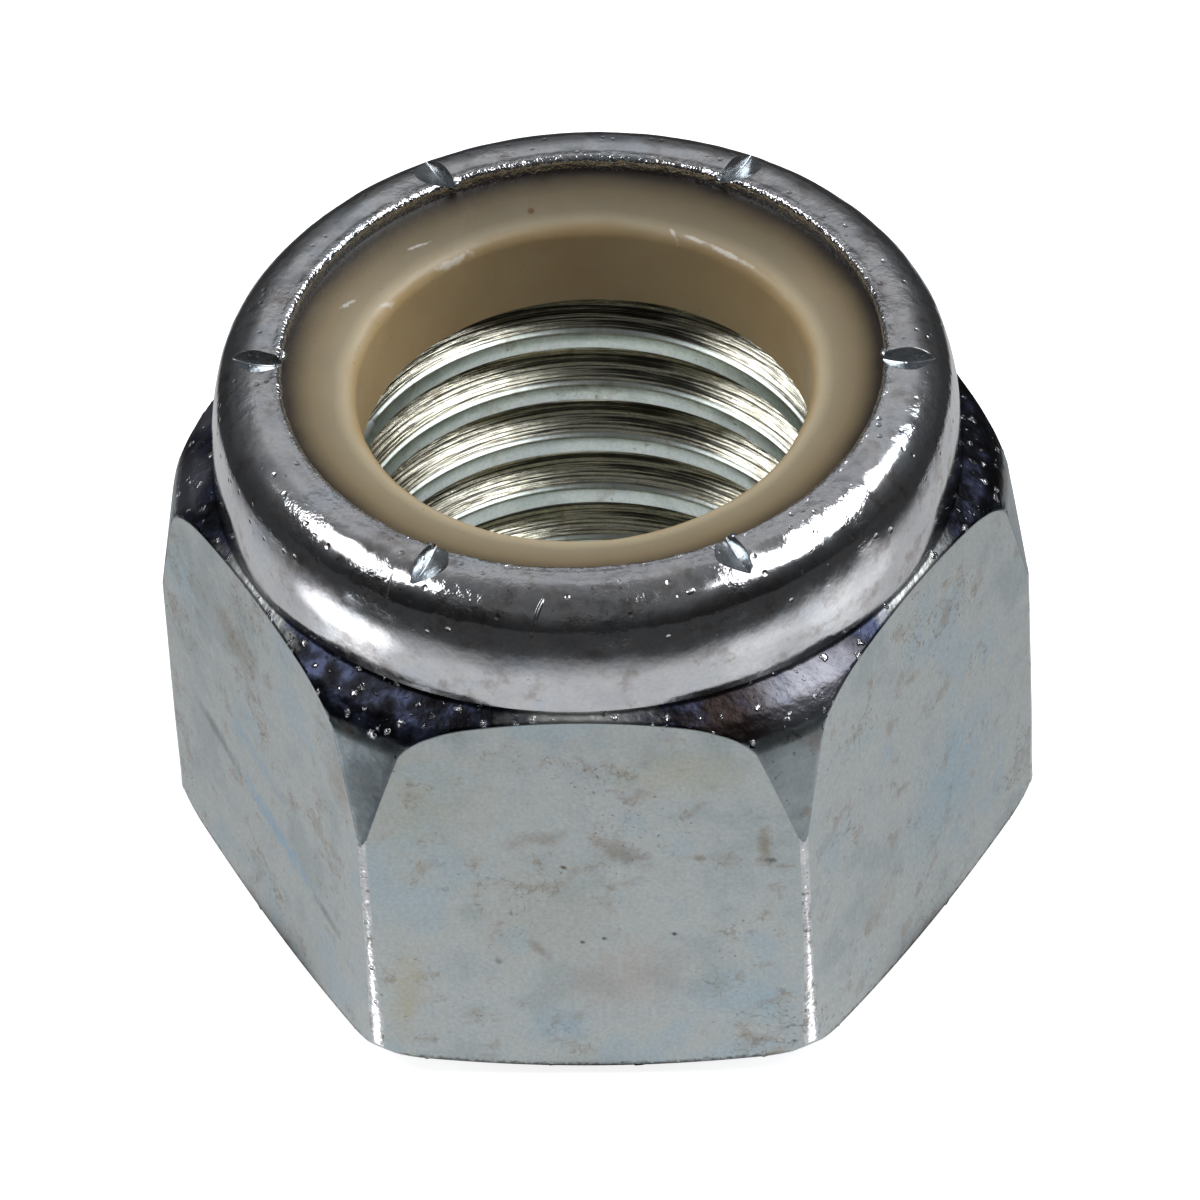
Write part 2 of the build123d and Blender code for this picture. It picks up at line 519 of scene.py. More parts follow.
# Edges that meet the arched edges round the flats at a slant are dissolved, and the arches are then eased
def easeArches(body):
    flats, worn, crown, shoulder, bearing = (
        slotOf(body, zinc) for zinc in (flatZinc, wornZinc, crownZinc, shoulderZinc, bearingZinc))
    turned = {crown, shoulder, bearing}

    def stripPoints():
        strips = [face for face in body.data.polygons if face.material_index == worn]
        return {point for face in strips for point in face.vertices}

    edit(body, "FACE", lambda face: face.material_index == flats, bpy.ops.mesh.dissolve_limited,
         angle_limit=math.radians(easing["flatTolerance"]))
    crowded = {point for key in bordersOf(body, flats, turned) for point in key} - stripPoints()
    edit(body, "VERT", lambda vertex: vertex.index in crowded, bpy.ops.mesh.remove_doubles,
         threshold=easing["crowding"])
    points = body.data.vertices
    neighbours = {}
    for here, there in bordersOf(body, flats, turned):
        neighbours.setdefault(here, []).append(there)
        neighbours.setdefault(there, []).append(here)

    def slants(here, there):
        if here not in neighbours or there in neighbours:
            return False
        ends = neighbours[here]
        along = (points[ends[0]].co - points[ends[-1]].co).normalized()
        away = (points[there].co - points[here].co).normalized()
        return abs(along.dot(away)) > easing["slant"]

    strip = stripPoints()
    slanting = {edge.key for edge in body.data.edges if not strip & set(edge.vertices)
                and (slants(*edge.vertices) or slants(*reversed(edge.vertices)))}
    edit(body, "EDGE", lambda edge: edge.key in slanting, bpy.ops.mesh.dissolve_edges, use_verts=False)
    # The tips, where two arches meet on a corner, stay as they are
    strip = stripPoints()
    arches = {key for key in bordersOf(body, flats, turned) if not strip & set(key)}
    edit(body, "EDGE", lambda edge: edge.key in arches, bpy.ops.mesh.bevel, offset=easing["width"],
         segments=easing["steps"], affect="EDGES", clamp_overlap=False)
    # Slivers that the easing turned over are merged with the faces beside them
    faces = body.data.polygons
    normals = [face.normal.copy() for face in faces]
    slivers = {face.index for face in faces
               if (face.material_index == shoulder and face.normal.z < -easing["turnedOver"])
               or (face.material_index == bearing and face.normal.z > easing["turnedOver"])}
    beside = {}
    for face in faces:
        for key in face.edge_keys:
            beside.setdefault(key, []).append(face.index)
    folds = {key for key, (one, other) in beside.items() if (one in slivers) != (other in slivers)
             and normals[one].dot(normals[other]) < easing["opposed"]}
    edit(body, "EDGE", lambda edge: edge.key in folds, bpy.ops.mesh.dissolve_edges, use_verts=False)


def makeNutBody():
    body = makeTurnedForm()
    combine(body, makeHexBar(), "INTERSECT")
    easeArches(body)
    print("hexagon and crown joined")
    combine(body, makeGrooveCoil(), "DIFFERENCE")
    print("thread cut")
    combine(body, makeBurrs(), "UNION")
    combine(body, makeChisels(), "DIFFERENCE")
    # The rim of each crimp is eased, as tumbling eases it
    notch = slotOf(body, notchZinc)
    pick(body, "FACE", lambda face: face.material_index == notch)
    bpy.ops.mesh.region_to_loop()
    bpy.ops.mesh.bevel(offset=crimp["rimRounding"], segments=2, affect="EDGES", clamp_overlap=True)
    print("lip crimped")
    # Points that the cuts left on top of each other are joined
    edit(body, "VERT", everything, bpy.ops.mesh.remove_doubles, threshold=near / 5)
    body.name = "lockNutBody"
    return body


def finishPiece(piece, sharpAngle):
    takeUp(piece)
    piece.scale = (millimetre, millimetre, millimetre)
    bpy.ops.object.transform_apply(location=True, rotation=True, scale=True)
    bpy.ops.object.shade_smooth_by_angle(angle=math.radians(sharpAngle))
    applyModifier(piece, "WEIGHTED_NORMAL", keep_sharp=True, mode="FACE_AREA_WITH_ANGLE", weight=50)


nutBody = makeNutBody()
finishPiece(nutBody, 35)
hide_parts("nut_body")
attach(nutBody, "root")
print("nut body finished")

ring = {
    "boreRadius": 8.0,
    "lowerEdge": 0.15,
    "dish": 0.55,
    "boreRounding": 0.5,
    "spinSteps": 288,
}


# The ring fills the recess, and its free top dishes a little towards the bore
def makeNylonRing():
    top = nut["height"] - nut["lipThickness"]
    floor = nut["recessFloor"]
    boreFoot = (ring["boreRadius"], floor + ring["lowerEdge"])
    boreTop = (ring["boreRadius"], top - ring["dish"])
    lipEdge = (nut["lipInnerRadius"], top)
    section = drawSection("nylonInsert", [
        boreFoot,
        (ring["boreRadius"] + ring["lowerEdge"], floor),
        (nut["recessRadius"], floor),
        (nut["recessRadius"], top, nut["recessRoofRounding"], 4),
        lipEdge,
        boreTop + (ring["boreRounding"], 8),
    ])
    cutRows(section, lipEdge, boreTop, 14)
    cutRows(section, boreFoot, boreTop, 12)
    spinSection(section, ring["spinSteps"])

    def isFree(co):
        return co.z > floor + 0.5 and radiusOf(co) < nut["lipInnerRadius"] - 0.1

    roughen(section, isFree, grain=2.6, strength=0.09)
    roughen(section, isFree, grain=0.8, strength=0.03)
    section.data.materials.append(nylon)
    return section


nylonRing = makeNylonRing()
finishPiece(nylonRing, 40)
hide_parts("nylon_ring")
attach(nylonRing, "root")
print("nylon ring finished")


def hexToLinear(code):
    def linear(value):
        value = value / 255
        return value / 12.92 if value <= 0.04045 else ((value + 0.055) / 1.055) ** 2.4

    return tuple(linear(int(code[i:i + 2], 16)) for i in (0, 2, 4)) + (1,)


# Nodes and sockets are linked to the named inputs, hex codes become colours, and other values are set
def feed(tree, node, inputs):
    for name, value in inputs.items():
        if isinstance(value, str):
            value = hexToLinear(value)
        if isinstance(value, bpy.types.Node):
            value = next(socket for socket in value.outputs if socket.enabled)
        if isinstance(value, bpy.types.NodeSocket):
            tree.links.new(value, node.inputs[name])
        else:
            node.inputs[name].default_value = value


# Adds a node with its settings and what feeds it
def addNode(tree, kind, inputs=None, **settings):
    node = tree.nodes.new("ShaderNode" + kind)
    for name, value in settings.items():
        setattr(node, name, value)
    feed(tree, node, inputs or {})
    return node


def fillRamp(ramp, marks):
    elements = ramp.color_ramp.elements
    while len(elements) > 1:
        elements.remove(elements[-1])
    elements[0].position = marks[0][0]
    elements[0].color = marks[0][1]
    for place, colour in marks[1:]:
        elements.new(place).color = colour


# What already feeds a shader, by the names of its inputs
def feedsOf(shader):
    return {socket.name: socket.links[0].from_socket for socket in shader.inputs if socket.is_linked}


def placeInMillimetres(tree):
    place = addNode(tree, "TexCoord")
    return addNode(tree, "Mapping", {"Vector": place.outputs["Object"], "Scale": (1000, 1000, 1000)})


def fromAxis(tree, place):
    flat = addNode(tree, "VectorMath", {0: place, 1: (1, 1, 0)}, operation="MULTIPLY")
    return addNode(tree, "VectorMath", {0: flat}, operation="LENGTH")


# A range that eases in and out
soft = {"interpolation_type": "SMOOTHSTEP"}
# Where the values of a noise mostly lie
noiseStretch = {"From Min": 0.3, "From Max": 0.7}


# How strongly an oval spot shows: it starts at the first edge and is full at the second, in half sizes from
# its centre. A wandering spot is ragged by a noise, times the raggedness.
def addSpot(tree, place, centre, halfSizes, edges, strength=1, turn=0, slant=0, wander=None, raggedness=0):
    spot = addNode(tree, "Mapping", {
        "Vector": place, "Location": centre, "Scale": halfSizes,
        "Rotation": (0, math.radians(slant), math.radians(turn))}, vector_type="TEXTURE")
    away = addNode(tree, "VectorMath", {0: spot}, operation="LENGTH")
    if wander:
        away = addNode(tree, "Math", {0: wander, 1: raggedness, 2: away}, operation="MULTIPLY_ADD")
    return addNode(tree, "MapRange", {
        "Value": away, "From Min": edges[0], "From Max": edges[1], "To Max": strength}, **soft)


# Another colour covers the first one where an oval spot shows
def tintSpot(tree, colour, code, *spot, **settings):
    mask = addSpot(tree, *spot, **settings)
    return addNode(tree, "Mix", {0: mask, 6: colour, 7: code}, data_type="RGBA")


# Relief that shows only where a mask does
def addRelief(tree, height, mask, distance, normal):
    masked = addNode(tree, "Math", {0: height, 1: mask}, operation="MULTIPLY")
    return addNode(tree, "Bump", {"Distance": distance, "Height": masked, "Normal": normal})


# Tinted patches, streaks and specks on the flats, and on the shoulders painted shade on the front-left
# taper and painted light on the front-right one: place, turn, slant, half length, half height, colour and
# strength
shoulderShadeAndLight = [
    ((-7.5, -12.99, 13.6), -30, 0, 4.0, 4.0, "6C757A", 0.95),
    ((7.5, -12.99, 13.6), 30, 0, 4.0, 4.0, "A6B0B4", 0.9),
]
flatMarks = [
    ((3.6, -13.45, 15.0), 0, 0, 2.6, 1.3, "C6C5B0", 0.5),
    ((-5.6, -13.45, 13.5), 0, 30, 2.6, 3.0, "BEC1B6", 0.6),
    ((-1.5, -13.45, 8.0), 0, 0, 3.4, 3.2, "BBBEB8", 0.5),
    ((-6.5, -13.45, 4.2), 0, 8, 0.7, 2.4, "C4BDA4", 0.6),
    ((5.4, -13.45, 4.0), 0, 0, 2.3, 1.6, "A6C4D6", 0.45),
    ((-1.2, -13.45, 2.6), 0, -20, 1.4, 1.0, "A8C6DA", 0.45),
    ((1.4, -13.45, 5.0), 0, -20, 2.9, 1.7, "BDB2AC", 0.45),
    ((6.35, -13.45, 11.5), 0, 4, 0.3, 0.9, "94866F", 0.6),
    ((6.55, -13.45, 10.7), 0, 0, 0.24, 0.15, "55493A", 0.8),
    ((-0.7, -13.45, 10.4), 0, 40, 0.18, 0.12, "5C4724", 0.9),
    ((3.03, -13.45, 7.1), 0, 0, 0.11, 0.11, "3F3833", 0.9),
    ((0.56, -13.45, 6.9), 0, 0, 0.12, 0.10, "4A423A", 0.85),
    ((-3.2, -13.45, 5.8), 0, 40, 0.22, 0.16, "5F574E", 0.6),
    ((-0.2, -13.45, 6.7), 0, 0, 0.10, 0.09, "4A423A", 0.8),
    ((4.07, -13.45, 10.8), 0, 0, 0.24, 0.2, "8C8274", 0.6),
    ((7.1, -13.45, 1.7), 0, 0, 0.13, 0.10, "4A423A", 0.8),
    ((1.4, -13.45, 11.0), 0, 30, 1.0, 0.55, "82786B", 0.55),
    ((-1.7, -13.45, 11.8), 0, -8, 1.5, 0.4, "94897C", 0.4),
    ((-1.8, -13.45, 6.5), 0, 52, 0.8, 0.22, "847B70", 0.4),
    ((-12.4, -5.4, 13.7), -60, 14, 1.7, 0.9, "998C7E", 0.6),
    ((-13.56, -3.4, 7.3), -60, 16, 1.9, 0.38, "767C84", 0.65),
    ((-9.5, -10.45, 5.3), -60, 14, 1.2, 0.30, "6A7078", 0.6),
    ((-11.2, -7.5, 6.2), -60, 14, 3.4, 0.55, "92BEDD", 0.65),
    ((-11.9, -6.3, 8.9), -60, 14, 2.6, 0.4, "9CC0D6", 0.5),
    ((-8.4, -12.3, 13.5), -60, 14, 1.2, 1.6, "A0948A", 0.5),
    ((-14.6, -1.6, 13.6), -60, 14, 1.8, 1.6, "9FC4DA", 0.45),
    ((12.6, -5.1, 6.1), 60, -10, 3.2, 3.0, "9CC0D4", 0.5),
    ((10.2, -9.3, 4.4), 60, -10, 1.5, 0.9, "B6B2AC", 0.4),
]

# Scratches that raised the crown's surface: place, turn, tilt, half length, half width and height
crownScratches = [
    ((-1.12, -12.43, 21.76), 64, 38, 0.62, 0.09, 0.00010),
    ((4.1, -11.6, 21.9), 20, 20, 0.16, 0.10, 0.00008),
    ((-6.3, -10.9, 21.6), 70, 25, 0.35, 0.06, 0.00006),
]

# Zinc plate: bright, faintly blue metal with cloudy tints from its clear passivation, brown stain
# and dark specks from handling. Sizes are in millimetres and heights of relief in metres.
# stain and speck: colour, size and the noise level that they start from. grain: size, contrast and height.
# swell: size and height. roughness: middle and spread. dents: size, share left out, depth and lowest place.
finishes = {
    # Cold-formed flats: satin, with a soft mottle and clusters of fine brown specks
    "forgedZinc": {
        "tints": ["B6C0C2", "C3CBCD", "C6CCCC", "BCCAD1"], "cloudSize": 3.6,
        "stain": ("A8A096", 1.1, 0.645), "speck": ("6B6055", 0.22, 0.7), "clusterSize": 4.2,
        "grain": (0.16, 0.09, 2.8e-6), "swell": (1.6, 7e-6), "roughness": (0.36, 0.08),
        "dents": (0.9, 0.8, 8e-6, -1), "markStrength": 0.55, "marks": flatMarks,
    },
    # Turned bearing face and its chamfer: smoother than the flats
    "bearingZinc": {
        "tints": ["ACB5B8", "BDC6C8", "B8C4CA"], "cloudSize": 4.0, "stain": ("A1988C", 1.6, 0.65),
        "speck": ("6B6055", 0.26, 0.7), "clusterSize": 5.0, "grain": (0.14, 0.07, 2e-6),
        "swell": (1.2, 6e-6), "roughness": (0.3, 0.1), "dents": (0.9, 0.8, 6e-6, -1),
        "markStrength": 0.55,
    },
    # Smooth tapers above the corners: a plain, slightly darker gray
    "shoulderZinc": {
        "tints": ["8A9499", "9AA4A9", "939FA6"], "cloudSize": 2.0, "stain": ("8F8579", 0.9, 0.66),
        "speck": ("5A4C40", 0.3, 0.71), "clusterSize": 3.0, "grain": (0.14, 0.07, 1.2e-6),
        "swell": (0.8, 4e-6), "roughness": (0.33, 0.08), "dents": (0.7, 0.85, 6e-6, -1),
        # The shoulder marks are painted shade on the front-left taper and painted light on the front-right
        # one
        "markStrength": 0.6, "marks": shoulderShadeAndLight,
    },
    # Rolled crown: polished by the tool that folds the lip, so it mirrors the lamps
    "rolledZinc": {
        "tints": ["C9CBD2", "D6D7DA", "D0D6DE"], "cloudSize": 3.0, "stain": ("8E8078", 0.9, 0.62),
        "speck": ("4E463E", 0.24, 0.735), "clusterSize": 3.0, "grain": (0.16, 0.06, 1.4e-6),
        "swell": (0.9, 7e-6), "roughness": (0.13, 0.07), "dents": (0.42, 0.72, 2e-5, 20.3),
        "markStrength": 0.5,
    },
    # Facets that the crimping chisel pressed: flat and bright
    "pressedZinc": {
        "tints": ["B9C2CA", "CFD5DA"], "cloudSize": 0.8, "stain": ("9A938A", 0.5, 0.62),
        "speck": ("4E463E", 0.2, 0.7), "clusterSize": 1.0, "grain": (0.12, 0.08, 3e-6),
        "swell": (0.35, 1.4e-5), "roughness": (0.2, 0.1), "dents": (0.3, 0.6, 1e-5, -1),
        "markStrength": 0.5,
    },
    # Corner edges, rubbed bright in handling: small facets that glint one by one
    "wornZinc": {
        "tints": ["CACED2", "E0E2E4"], "cloudSize": 0.7, "stain": ("8E8A86", 0.5, 0.63),
        "speck": ("5E5650", 0.3, 0.66), "clusterSize": 1.4, "grain": (0.2, 0.1, 2e-5),
        "swell": (0.5, 6e-5), "roughness": (0.2, 0.12), "dents": (0.45, 0.55, 5e-5, -1),
        "markStrength": 0.65,
    },
    # Tapped thread: greenish, and torn into fine lines by the tap
    "tappedZinc": {
        "tints": ["C2CFC8", "D6E1DA", "CCD8D4"], "cloudSize": 2.4, "stain": ("8F876E", 0.8, 0.66),
        "speck": ("4A4434", 0.22, 0.73), "clusterSize": 2.0, "grain": (0.14, 0.09, 1e-6),
        "swell": (0.6, 3e-6), "roughness": (0.15, 0.08), "dents": (0.4, 0.9, 3e-6, -1),
        "markStrength": 0.5,
    },
}


# Fine brown threads run through the stained parts of the flats
def addVeins(tree, place, colour, noises):
    lines = addNode(tree, "TexNoise", {"Vector": place, "Scale": 0.7, "Detail": 3, "Roughness": 0.6})
    offLine = addNode(tree, "Math", {0: lines, 1: 0.5}, operation="SUBTRACT")
    fromLine = addNode(tree, "Math", {0: offLine}, operation="ABSOLUTE")
    line = addNode(tree, "MapRange", {
        "Value": fromLine, "From Min": 0.02, "From Max": 0, "To Max": 0.42}, **soft)
    gathered = addNode(tree, "Math", {0: noises["stain"], 1: 1.2, 2: noises["cluster"]},
                       operation="MULTIPLY_ADD")
    stained = addNode(tree, "MapRange", {"Value": gathered, "From Min": 1.12, "From Max": 1.3}, **soft)
    veins = addNode(tree, "Math", {0: line, 1: stained}, operation="MULTIPLY")
    return addNode(tree, "Mix", {0: veins, 6: colour, 7: "81705F"}, data_type="RGBA")


# Painted shade along the lower edge, where the bearing chamfer meets the flats
def addPaintedEdgeShade(tree, place, colour, noises):
    slope = tanDegrees(nut["bearingChamfer"])
    arch = addNode(tree, "Math", {0: fromAxis(tree, place), 1: slope, 2: -slope * nut["bearingRadius"]},
                   operation="MULTIPLY_ADD")
    level = addNode(tree, "SeparateXYZ", {0: place}).outputs["Z"]
    overArch = addNode(tree, "Math", {0: level, 1: arch}, operation="SUBTRACT")
    uneven = addNode(tree, "Math", {0: noises["speck"], 1: 0.5, 2: overArch}, operation="MULTIPLY_ADD")
    edgeShade = addNode(tree, "MapRange", {
        "Value": uneven, "From Min": 0.52, "From Max": 0.3, "To Max": 0.8}, **soft)
    return addNode(tree, "Mix", {0: edgeShade, 6: colour, 7: "453B34"}, data_type="RGBA")


# Sparse round dents, a third of a cell across
def addDents(tree, place, size, share, depth, lowest):
    cells = addNode(tree, "TexVoronoi", {"Vector": place, "Scale": 1 / size})
    chance = addNode(tree, "SeparateColor", {"Color": cells.outputs["Color"]}).outputs["Red"]
    chosen = addNode(tree, "Math", {0: chance, 1: share}, operation="GREATER_THAN")
    level = addNode(tree, "SeparateXYZ", {0: place}).outputs["Z"]
    high = addNode(tree, "Math", {0: level, 1: lowest}, operation="GREATER_THAN")
    hollow = addNode(tree, "MapRange", {"Value": cells, "From Min": 0.3, "From Max": 0.05}, **soft)
    bowls = addNode(tree, "Math", {0: chosen, 1: hollow}, operation="MULTIPLY")
    bowl = addNode(tree, "Math", {0: bowls, 1: high}, operation="MULTIPLY")
    return addNode(tree, "Bump", {"Distance": depth, "Height": bowl}, invert=True)


def makeZincFinish(material):
    finish = finishes[material.name]
    material.use_nodes = True
    tree = material.node_tree
    place = placeInMillimetres(tree)
    grainSize, grainContrast, grainHeight = finish["grain"]
    swellSize, swellHeight = finish["swell"]
    roughness, spread = finish["roughness"]
    stainSize, speckSize = finish["stain"][1], finish["speck"][1]
    noises = {}
    for name, size, detail in (("clouds", finish["cloudSize"], 3), ("stain", stainSize, 4),
                               ("speck", speckSize, 3), ("cluster", finish["clusterSize"], 2),
                               ("grain", grainSize, 2), ("polish", stainSize, 3), ("swell", swellSize, 2)):
        shift = (7.7 * len(noises), 3.1, -5.3 * len(noises))
        cell = addNode(tree, "Mapping", {"Vector": place, "Location": shift, "Scale": (1 / size,) * 3})
        noises[name] = addNode(tree, "TexNoise", {
            "Vector": cell, "Scale": 1, "Detail": detail, "Roughness": 0.6})
    colour = addNode(tree, "ValToRGB", {"Fac": noises["clouds"]})
    codes = finish["tints"]
    apart = 0.28 / (len(codes) - 1)
    fillRamp(colour, [(0.36 + apart * step, hexToLinear(code)) for step, code in enumerate(codes)])
    if "marks" in finish:
        ragged = addNode(tree, "TexNoise", {"Vector": place, "Scale": 1.5, "Detail": 5, "Roughness": 0.75})
        for centre, turn, slant, halfLength, halfHeight, code, strength in finish["marks"]:
            colour = tintSpot(tree, colour, code, place, centre, (halfLength, 1, halfHeight), (2.5, 1.2),
                              strength=strength, turn=turn, slant=slant, wander=ragged, raggedness=2.4)
    if material == flatZinc:
        colour = addVeins(tree, place, colour, noises)
        # Painted shade along the lower edge of the flats
        colour = addPaintedEdgeShade(tree, place, colour, noises)
    # Stain and specks gather where the cluster noise is high
    gathering = 0.45
    for name, edge in (("stain", 0.10), ("speck", 0.05)):
        code, _, share = finish[name]
        gathered = addNode(tree, "Math", {0: noises["cluster"], 1: gathering, 2: noises[name]},
                           operation="MULTIPLY_ADD")
        level = share + gathering / 2
        mask = addNode(tree, "MapRange", {
            "Value": gathered, "From Min": level - edge, "From Max": level + edge,
            "To Max": finish["markStrength"]}, **soft)
        colour = addNode(tree, "Mix", {0: mask, 6: colour, 7: code}, data_type="RGBA")
    shade = addNode(tree, "MapRange", {"Value": noises["grain"], "To Min": 1 - grainContrast,
                                       "To Max": 1 + grainContrast, **noiseStretch})
    coloured = addNode(tree, "VectorMath", {0: colour, "Scale": shade}, operation="SCALE")
    rough = addNode(tree, "MapRange", {"Value": noises["polish"], "To Min": roughness - spread / 2,
                                       "To Max": roughness + spread / 2, **noiseStretch})
    dents = addDents(tree, place, *finish["dents"])
    swell = addNode(tree, "Bump", {"Distance": swellHeight, "Height": noises["swell"], "Normal": dents})
    normal = addNode(tree, "Bump", {"Distance": grainHeight, "Height": noises["grain"], "Normal": swell})
    if material == crownZinc:
        for centre, turn, tilt, halfLength, halfWidth, height in crownScratches:
            mask = addSpot(tree, place, centre, (halfLength, halfWidth, 0.6), (1, 0), turn=turn, slant=tilt)
            normal = addNode(tree, "Bump", {"Distance": height, "Height": mask, "Normal": normal})
            rough = addNode(tree, "Mix", {0: mask, 2: rough, 3: 0.45}, data_type="FLOAT")
    feed(tree, tree.nodes["Principled BSDF"], {"Metallic": 1, "Base Color": coloured, "Roughness": rough,
                                               "Normal": normal})


for zinc in (crownZinc, flatZinc, bearingZinc, shoulderZinc, threadZinc, notchZinc, wornZinc):
    makeZincFinish(zinc)

# The ledge round the crown's foot, above the tapers: rough, and dark with painted shade in the crevice under
# the crown, with small bright grains that stand out of it.
ledge = {
    "height": 16.32,
    "softness": 0.14,
    "wander": 0.4,
    # The dark tints are painted shade in the crevice under the crown
    "tints": ["1B1A1E", "282A33", "464C64"],
    "tintSize": 0.9,
    # Painted light in paler places and painted shade in one browner place: place, turn, half length, half
    # width and colour
    "paintedLightAndShadePlaces": [
        ((-14.3, -0.6, 16.8), -85, 1.5, 1.1, "8B8D9B"), ((8.4, -11.8, 16.9), 28, 2.4, 2.0, "85868F"),
        ((-2.0, 14.0, 17.0), 100, 2.0, 1.0, "8B8D9B"), ((-13.6, 3.0, 17.0), -80, 1.6, 1.0, "8B8D9B"),
        ((5.2, -13.0, 17.2), 10, 1.6, 1.2, "38302F"), ((0.3, -13.3, 17.5), 0, 2.0, 1.2, "DDE0DE"),
        ((-11.6, -6.7, 17.5), -60, 2.2, 1.2, "C8CCCC"), ((11.6, -6.7, 17.5), 60, 2.2, 1.2, "C8CCCC"),
    ],
    "grainCell": 0.42,
    "grainBend": 0.35,
    "grainRadius": 0.4,
    "leastGrainRadius": 0.08,
    "grainShare": 0.3,
    "grainHeight": 0.00006,
    "grainTint": "E8EAF0",
    "relief": 0.00004,
    "reliefSize": 0.35,
    "roughness": 0.42,
    "grainRoughness": 0.2,
}


def addLedge():
    tree = shoulderZinc.node_tree
    shader = tree.nodes["Principled BSDF"]
    under = feedsOf(shader)
    place = placeInMillimetres(tree)
    height = addNode(tree, "SeparateXYZ", {0: place}).outputs["Z"]
    wander = addNode(tree, "TexNoise", {"Vector": place, "Scale": 1.6, "Detail": 2})
    level = addNode(tree, "Math", {0: wander, 1: ledge["wander"], 2: height}, operation="MULTIPLY_ADD")
    start = ledge["height"] + ledge["wander"] / 2
    above = addNode(tree, "MapRange", {"Value": level, "From Min": start - ledge["softness"],
                                       "From Max": start + ledge["softness"]}, **soft)
    clouds = addNode(tree, "TexNoise", {"Vector": place, "Scale": 1 / ledge["tintSize"], "Detail": 3})
    colour = addNode(tree, "ValToRGB", {"Fac": clouds})
    fillRamp(colour, [(0.38 + 0.13 * step, hexToLinear(code)) for step, code in enumerate(ledge["tints"])])
    # Painted light in the pale places and painted shade in the brown one
    for centre, turn, halfLength, halfWidth, code in ledge["paintedLightAndShadePlaces"]:
        colour = tintSpot(tree, colour, code, place, centre, (halfLength, halfWidth, 1.5), (2.3, 1.1),
                          turn=turn, wander=clouds, raggedness=1.6)
    bend = addNode(tree, "TexNoise", {"Vector": place, "Scale": 5.0, "Detail": 2}).outputs["Color"]
    bent = addNode(tree, "VectorMath", {0: bend, 1: (ledge["grainBend"],) * 3, 2: place},
                   operation="MULTIPLY_ADD")
    cells = addNode(tree, "TexVoronoi", {"Vector": bent, "Scale": 1 / ledge["grainCell"]})
    chance = addNode(tree, "SeparateColor", {"Color": cells.outputs["Color"]}).outputs
    chosen = addNode(tree, "Math", {0: chance["Red"], 1: ledge["grainShare"]}, operation="GREATER_THAN")
    radius = addNode(tree, "Math", {
        0: chance["Green"], 1: ledge["grainRadius"], 2: ledge["leastGrainRadius"]}, operation="MULTIPLY_ADD")
    within = addNode(tree, "Math", {0: cells, 1: radius}, operation="DIVIDE")
    dome = addNode(tree, "MapRange", {"Value": within, "From Min": 1, "From Max": 0.3}, **soft)
    grain = addNode(tree, "Math", {0: chosen, 1: dome}, operation="MULTIPLY")
    colour = addNode(tree, "Mix", {0: grain, 6: colour, 7: ledge["grainTint"]}, data_type="RGBA")
    colour = addNode(tree, "Mix", {0: above, 6: under["Base Color"], 7: colour}, data_type="RGBA")
    ledgeRough = addNode(tree, "MapRange", {"Value": grain, "To Min": ledge["roughness"],
                                            "To Max": ledge["grainRoughness"]})
    rough = addNode(tree, "Mix", {0: above, 2: under["Roughness"], 3: ledgeRough}, data_type="FLOAT")
    pitted = addNode(tree, "TexNoise", {"Vector": place, "Scale": 1 / ledge["reliefSize"], "Detail": 2})
    pits = addRelief(tree, pitted, above, ledge["relief"], under["Normal"])
    domes = addRelief(tree, grain, above, ledge["grainHeight"], pits)
    feed(tree, shader, {"Base Color": colour, "Roughness": rough, "Normal": domes})


addLedge()

# The lip's inner edge is broken into beads that glint one by one, and the roll is rippled in patches,
# which break up what it mirrors. Beads of 0.2 mm and ripples of 0.4 mm are coarser than the real ones.
# Scales are in cells per metre.
lipRelief = {
    "beadScale": 4500,
    "beadHeight": 0.00007,
    "beadReach": 0.45,
    "beadFull": 0.15,
    "rippleScale": 2400,
    "rippleHeight": 0.00004,
    "patchScale": 420,
    "rollStart": 20.4,
    "rollFull": 21.2,
}


def addLipRelief():
    tree = crownZinc.node_tree
    shader = tree.nodes["Principled BSDF"]
    place = addNode(tree, "TexCoord").outputs["Object"]
    edge = nut["lipInnerRadius"]
    inside = addNode(tree, "MapRange", {
        "Value": fromAxis(tree, place), "From Min": (edge + lipRelief["beadReach"]) * millimetre,
        "From Max": (edge + lipRelief["beadFull"]) * millimetre}, **soft)
    lumps = addNode(tree, "TexNoise", {
        "Vector": place, "Scale": lipRelief["beadScale"], "Detail": 2, "Roughness": 0.6})
    beads = addRelief(tree, lumps, inside, lipRelief["beadHeight"], feedsOf(shader)["Normal"])
    level = addNode(tree, "SeparateXYZ", {0: place}).outputs["Z"]
    rolled = addNode(tree, "MapRange", {"Value": level, "From Min": lipRelief["rollStart"] * millimetre,
                                        "From Max": lipRelief["rollFull"] * millimetre}, **soft)
    ripples = addNode(tree, "TexNoise", {
        "Vector": place, "Scale": lipRelief["rippleScale"], "Detail": 3, "Roughness": 0.6})
    patches = addNode(tree, "TexNoise", {"Vector": place, "Scale": lipRelief["patchScale"], "Detail": 2})
    patch = addNode(tree, "MapRange", {"Value": patches, "From Min": 0.42, "From Max": 0.6}, **soft)
    masked = addNode(tree, "Math", {0: rolled, 1: patch}, operation="MULTIPLY")
    feed(tree, shader, {"Normal": addRelief(tree, ripples, masked, lipRelief["rippleHeight"], beads)})


addLipRelief()

# The tap leaves fine lines along the flanks, at constant radius, light and dark by turns.
# Real ones are 0.02 to 0.05 mm apart, and these are drawn coarser, so that they show.
tapLines = {
    "spacing": 0.09,
    "height": 0.00003,
    "flankStart": 0.12,
    "flankFull": 0.22,
    "crestRoughness": 0.32,
    "crestTone": (1.16, 1.15, 1.18, 1),
    "flankTone": (1.12, 0.98, 0.88, 1),
    "shades": (0.12, 1.2),
}


